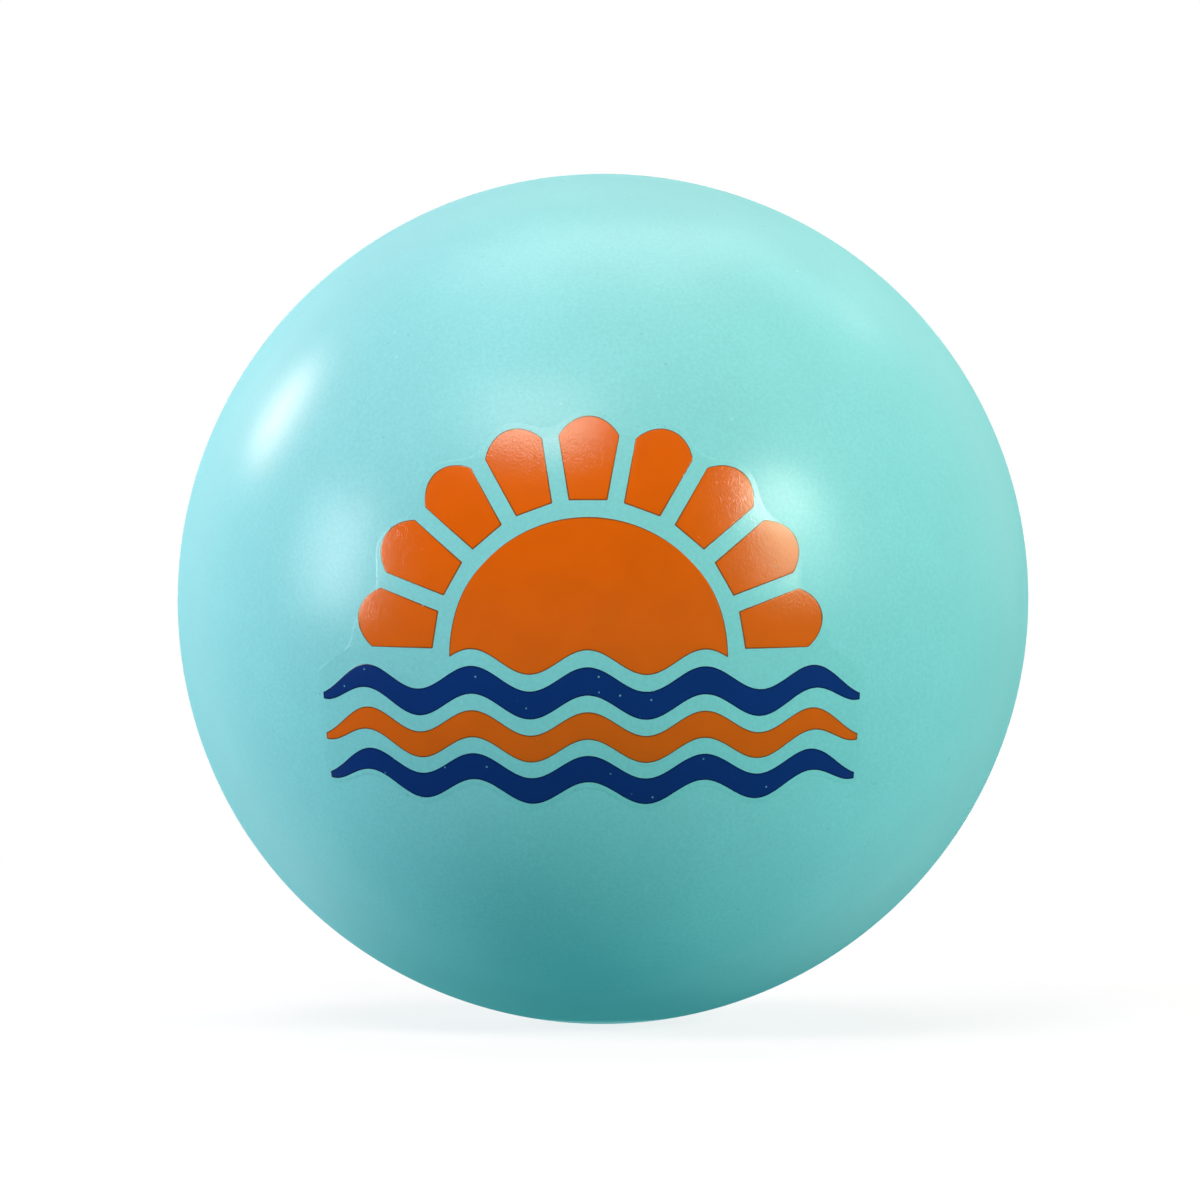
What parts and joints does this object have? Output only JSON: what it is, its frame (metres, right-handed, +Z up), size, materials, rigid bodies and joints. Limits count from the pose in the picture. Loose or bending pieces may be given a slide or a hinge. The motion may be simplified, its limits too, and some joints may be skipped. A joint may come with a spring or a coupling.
{
  "type": "water bouncing ball",
  "caption": "Soft round ball that floats and skips across water, with a foam core in two bonded rubber halves and a printed transfer on the front.",
  "frame": {"origin": "centre of the ball", "axes": "+Z up as the print reads, -Y out through the middle of the print, the halves meet in the plane y = 0"},
  "size_m": [0.06, 0.0603, 0.06],
  "materials": {
    "skin": "satin soft-touch moulded skin",
    "foam": "matte closed-cell foam",
    "glue": "matte cured glue line",
    "film": "clear glossy transfer film over the skin",
    "orange_ink": "glossy transfer ink",
    "navy_ink": "glossy transfer ink"
  },
  "bodies": {
    "root": {"foam_core": "foam", "front_half": "skin", "rear_half": "skin", "seam_bond": "glue", "print_film": "film", "sun_print": "orange_ink", "ray_print_1": "orange_ink", "ray_print_2": "orange_ink", "ray_print_3": "orange_ink", "ray_print_4": "orange_ink", "ray_print_5": "orange_ink", "ray_print_6": "orange_ink", "ray_print_7": "orange_ink", "ray_print_8": "orange_ink", "ray_print_9": "orange_ink", "wave_print_1": "navy_ink", "wave_print_2": "orange_ink", "wave_print_3": "navy_ink"}
  },
  "joints": []
}
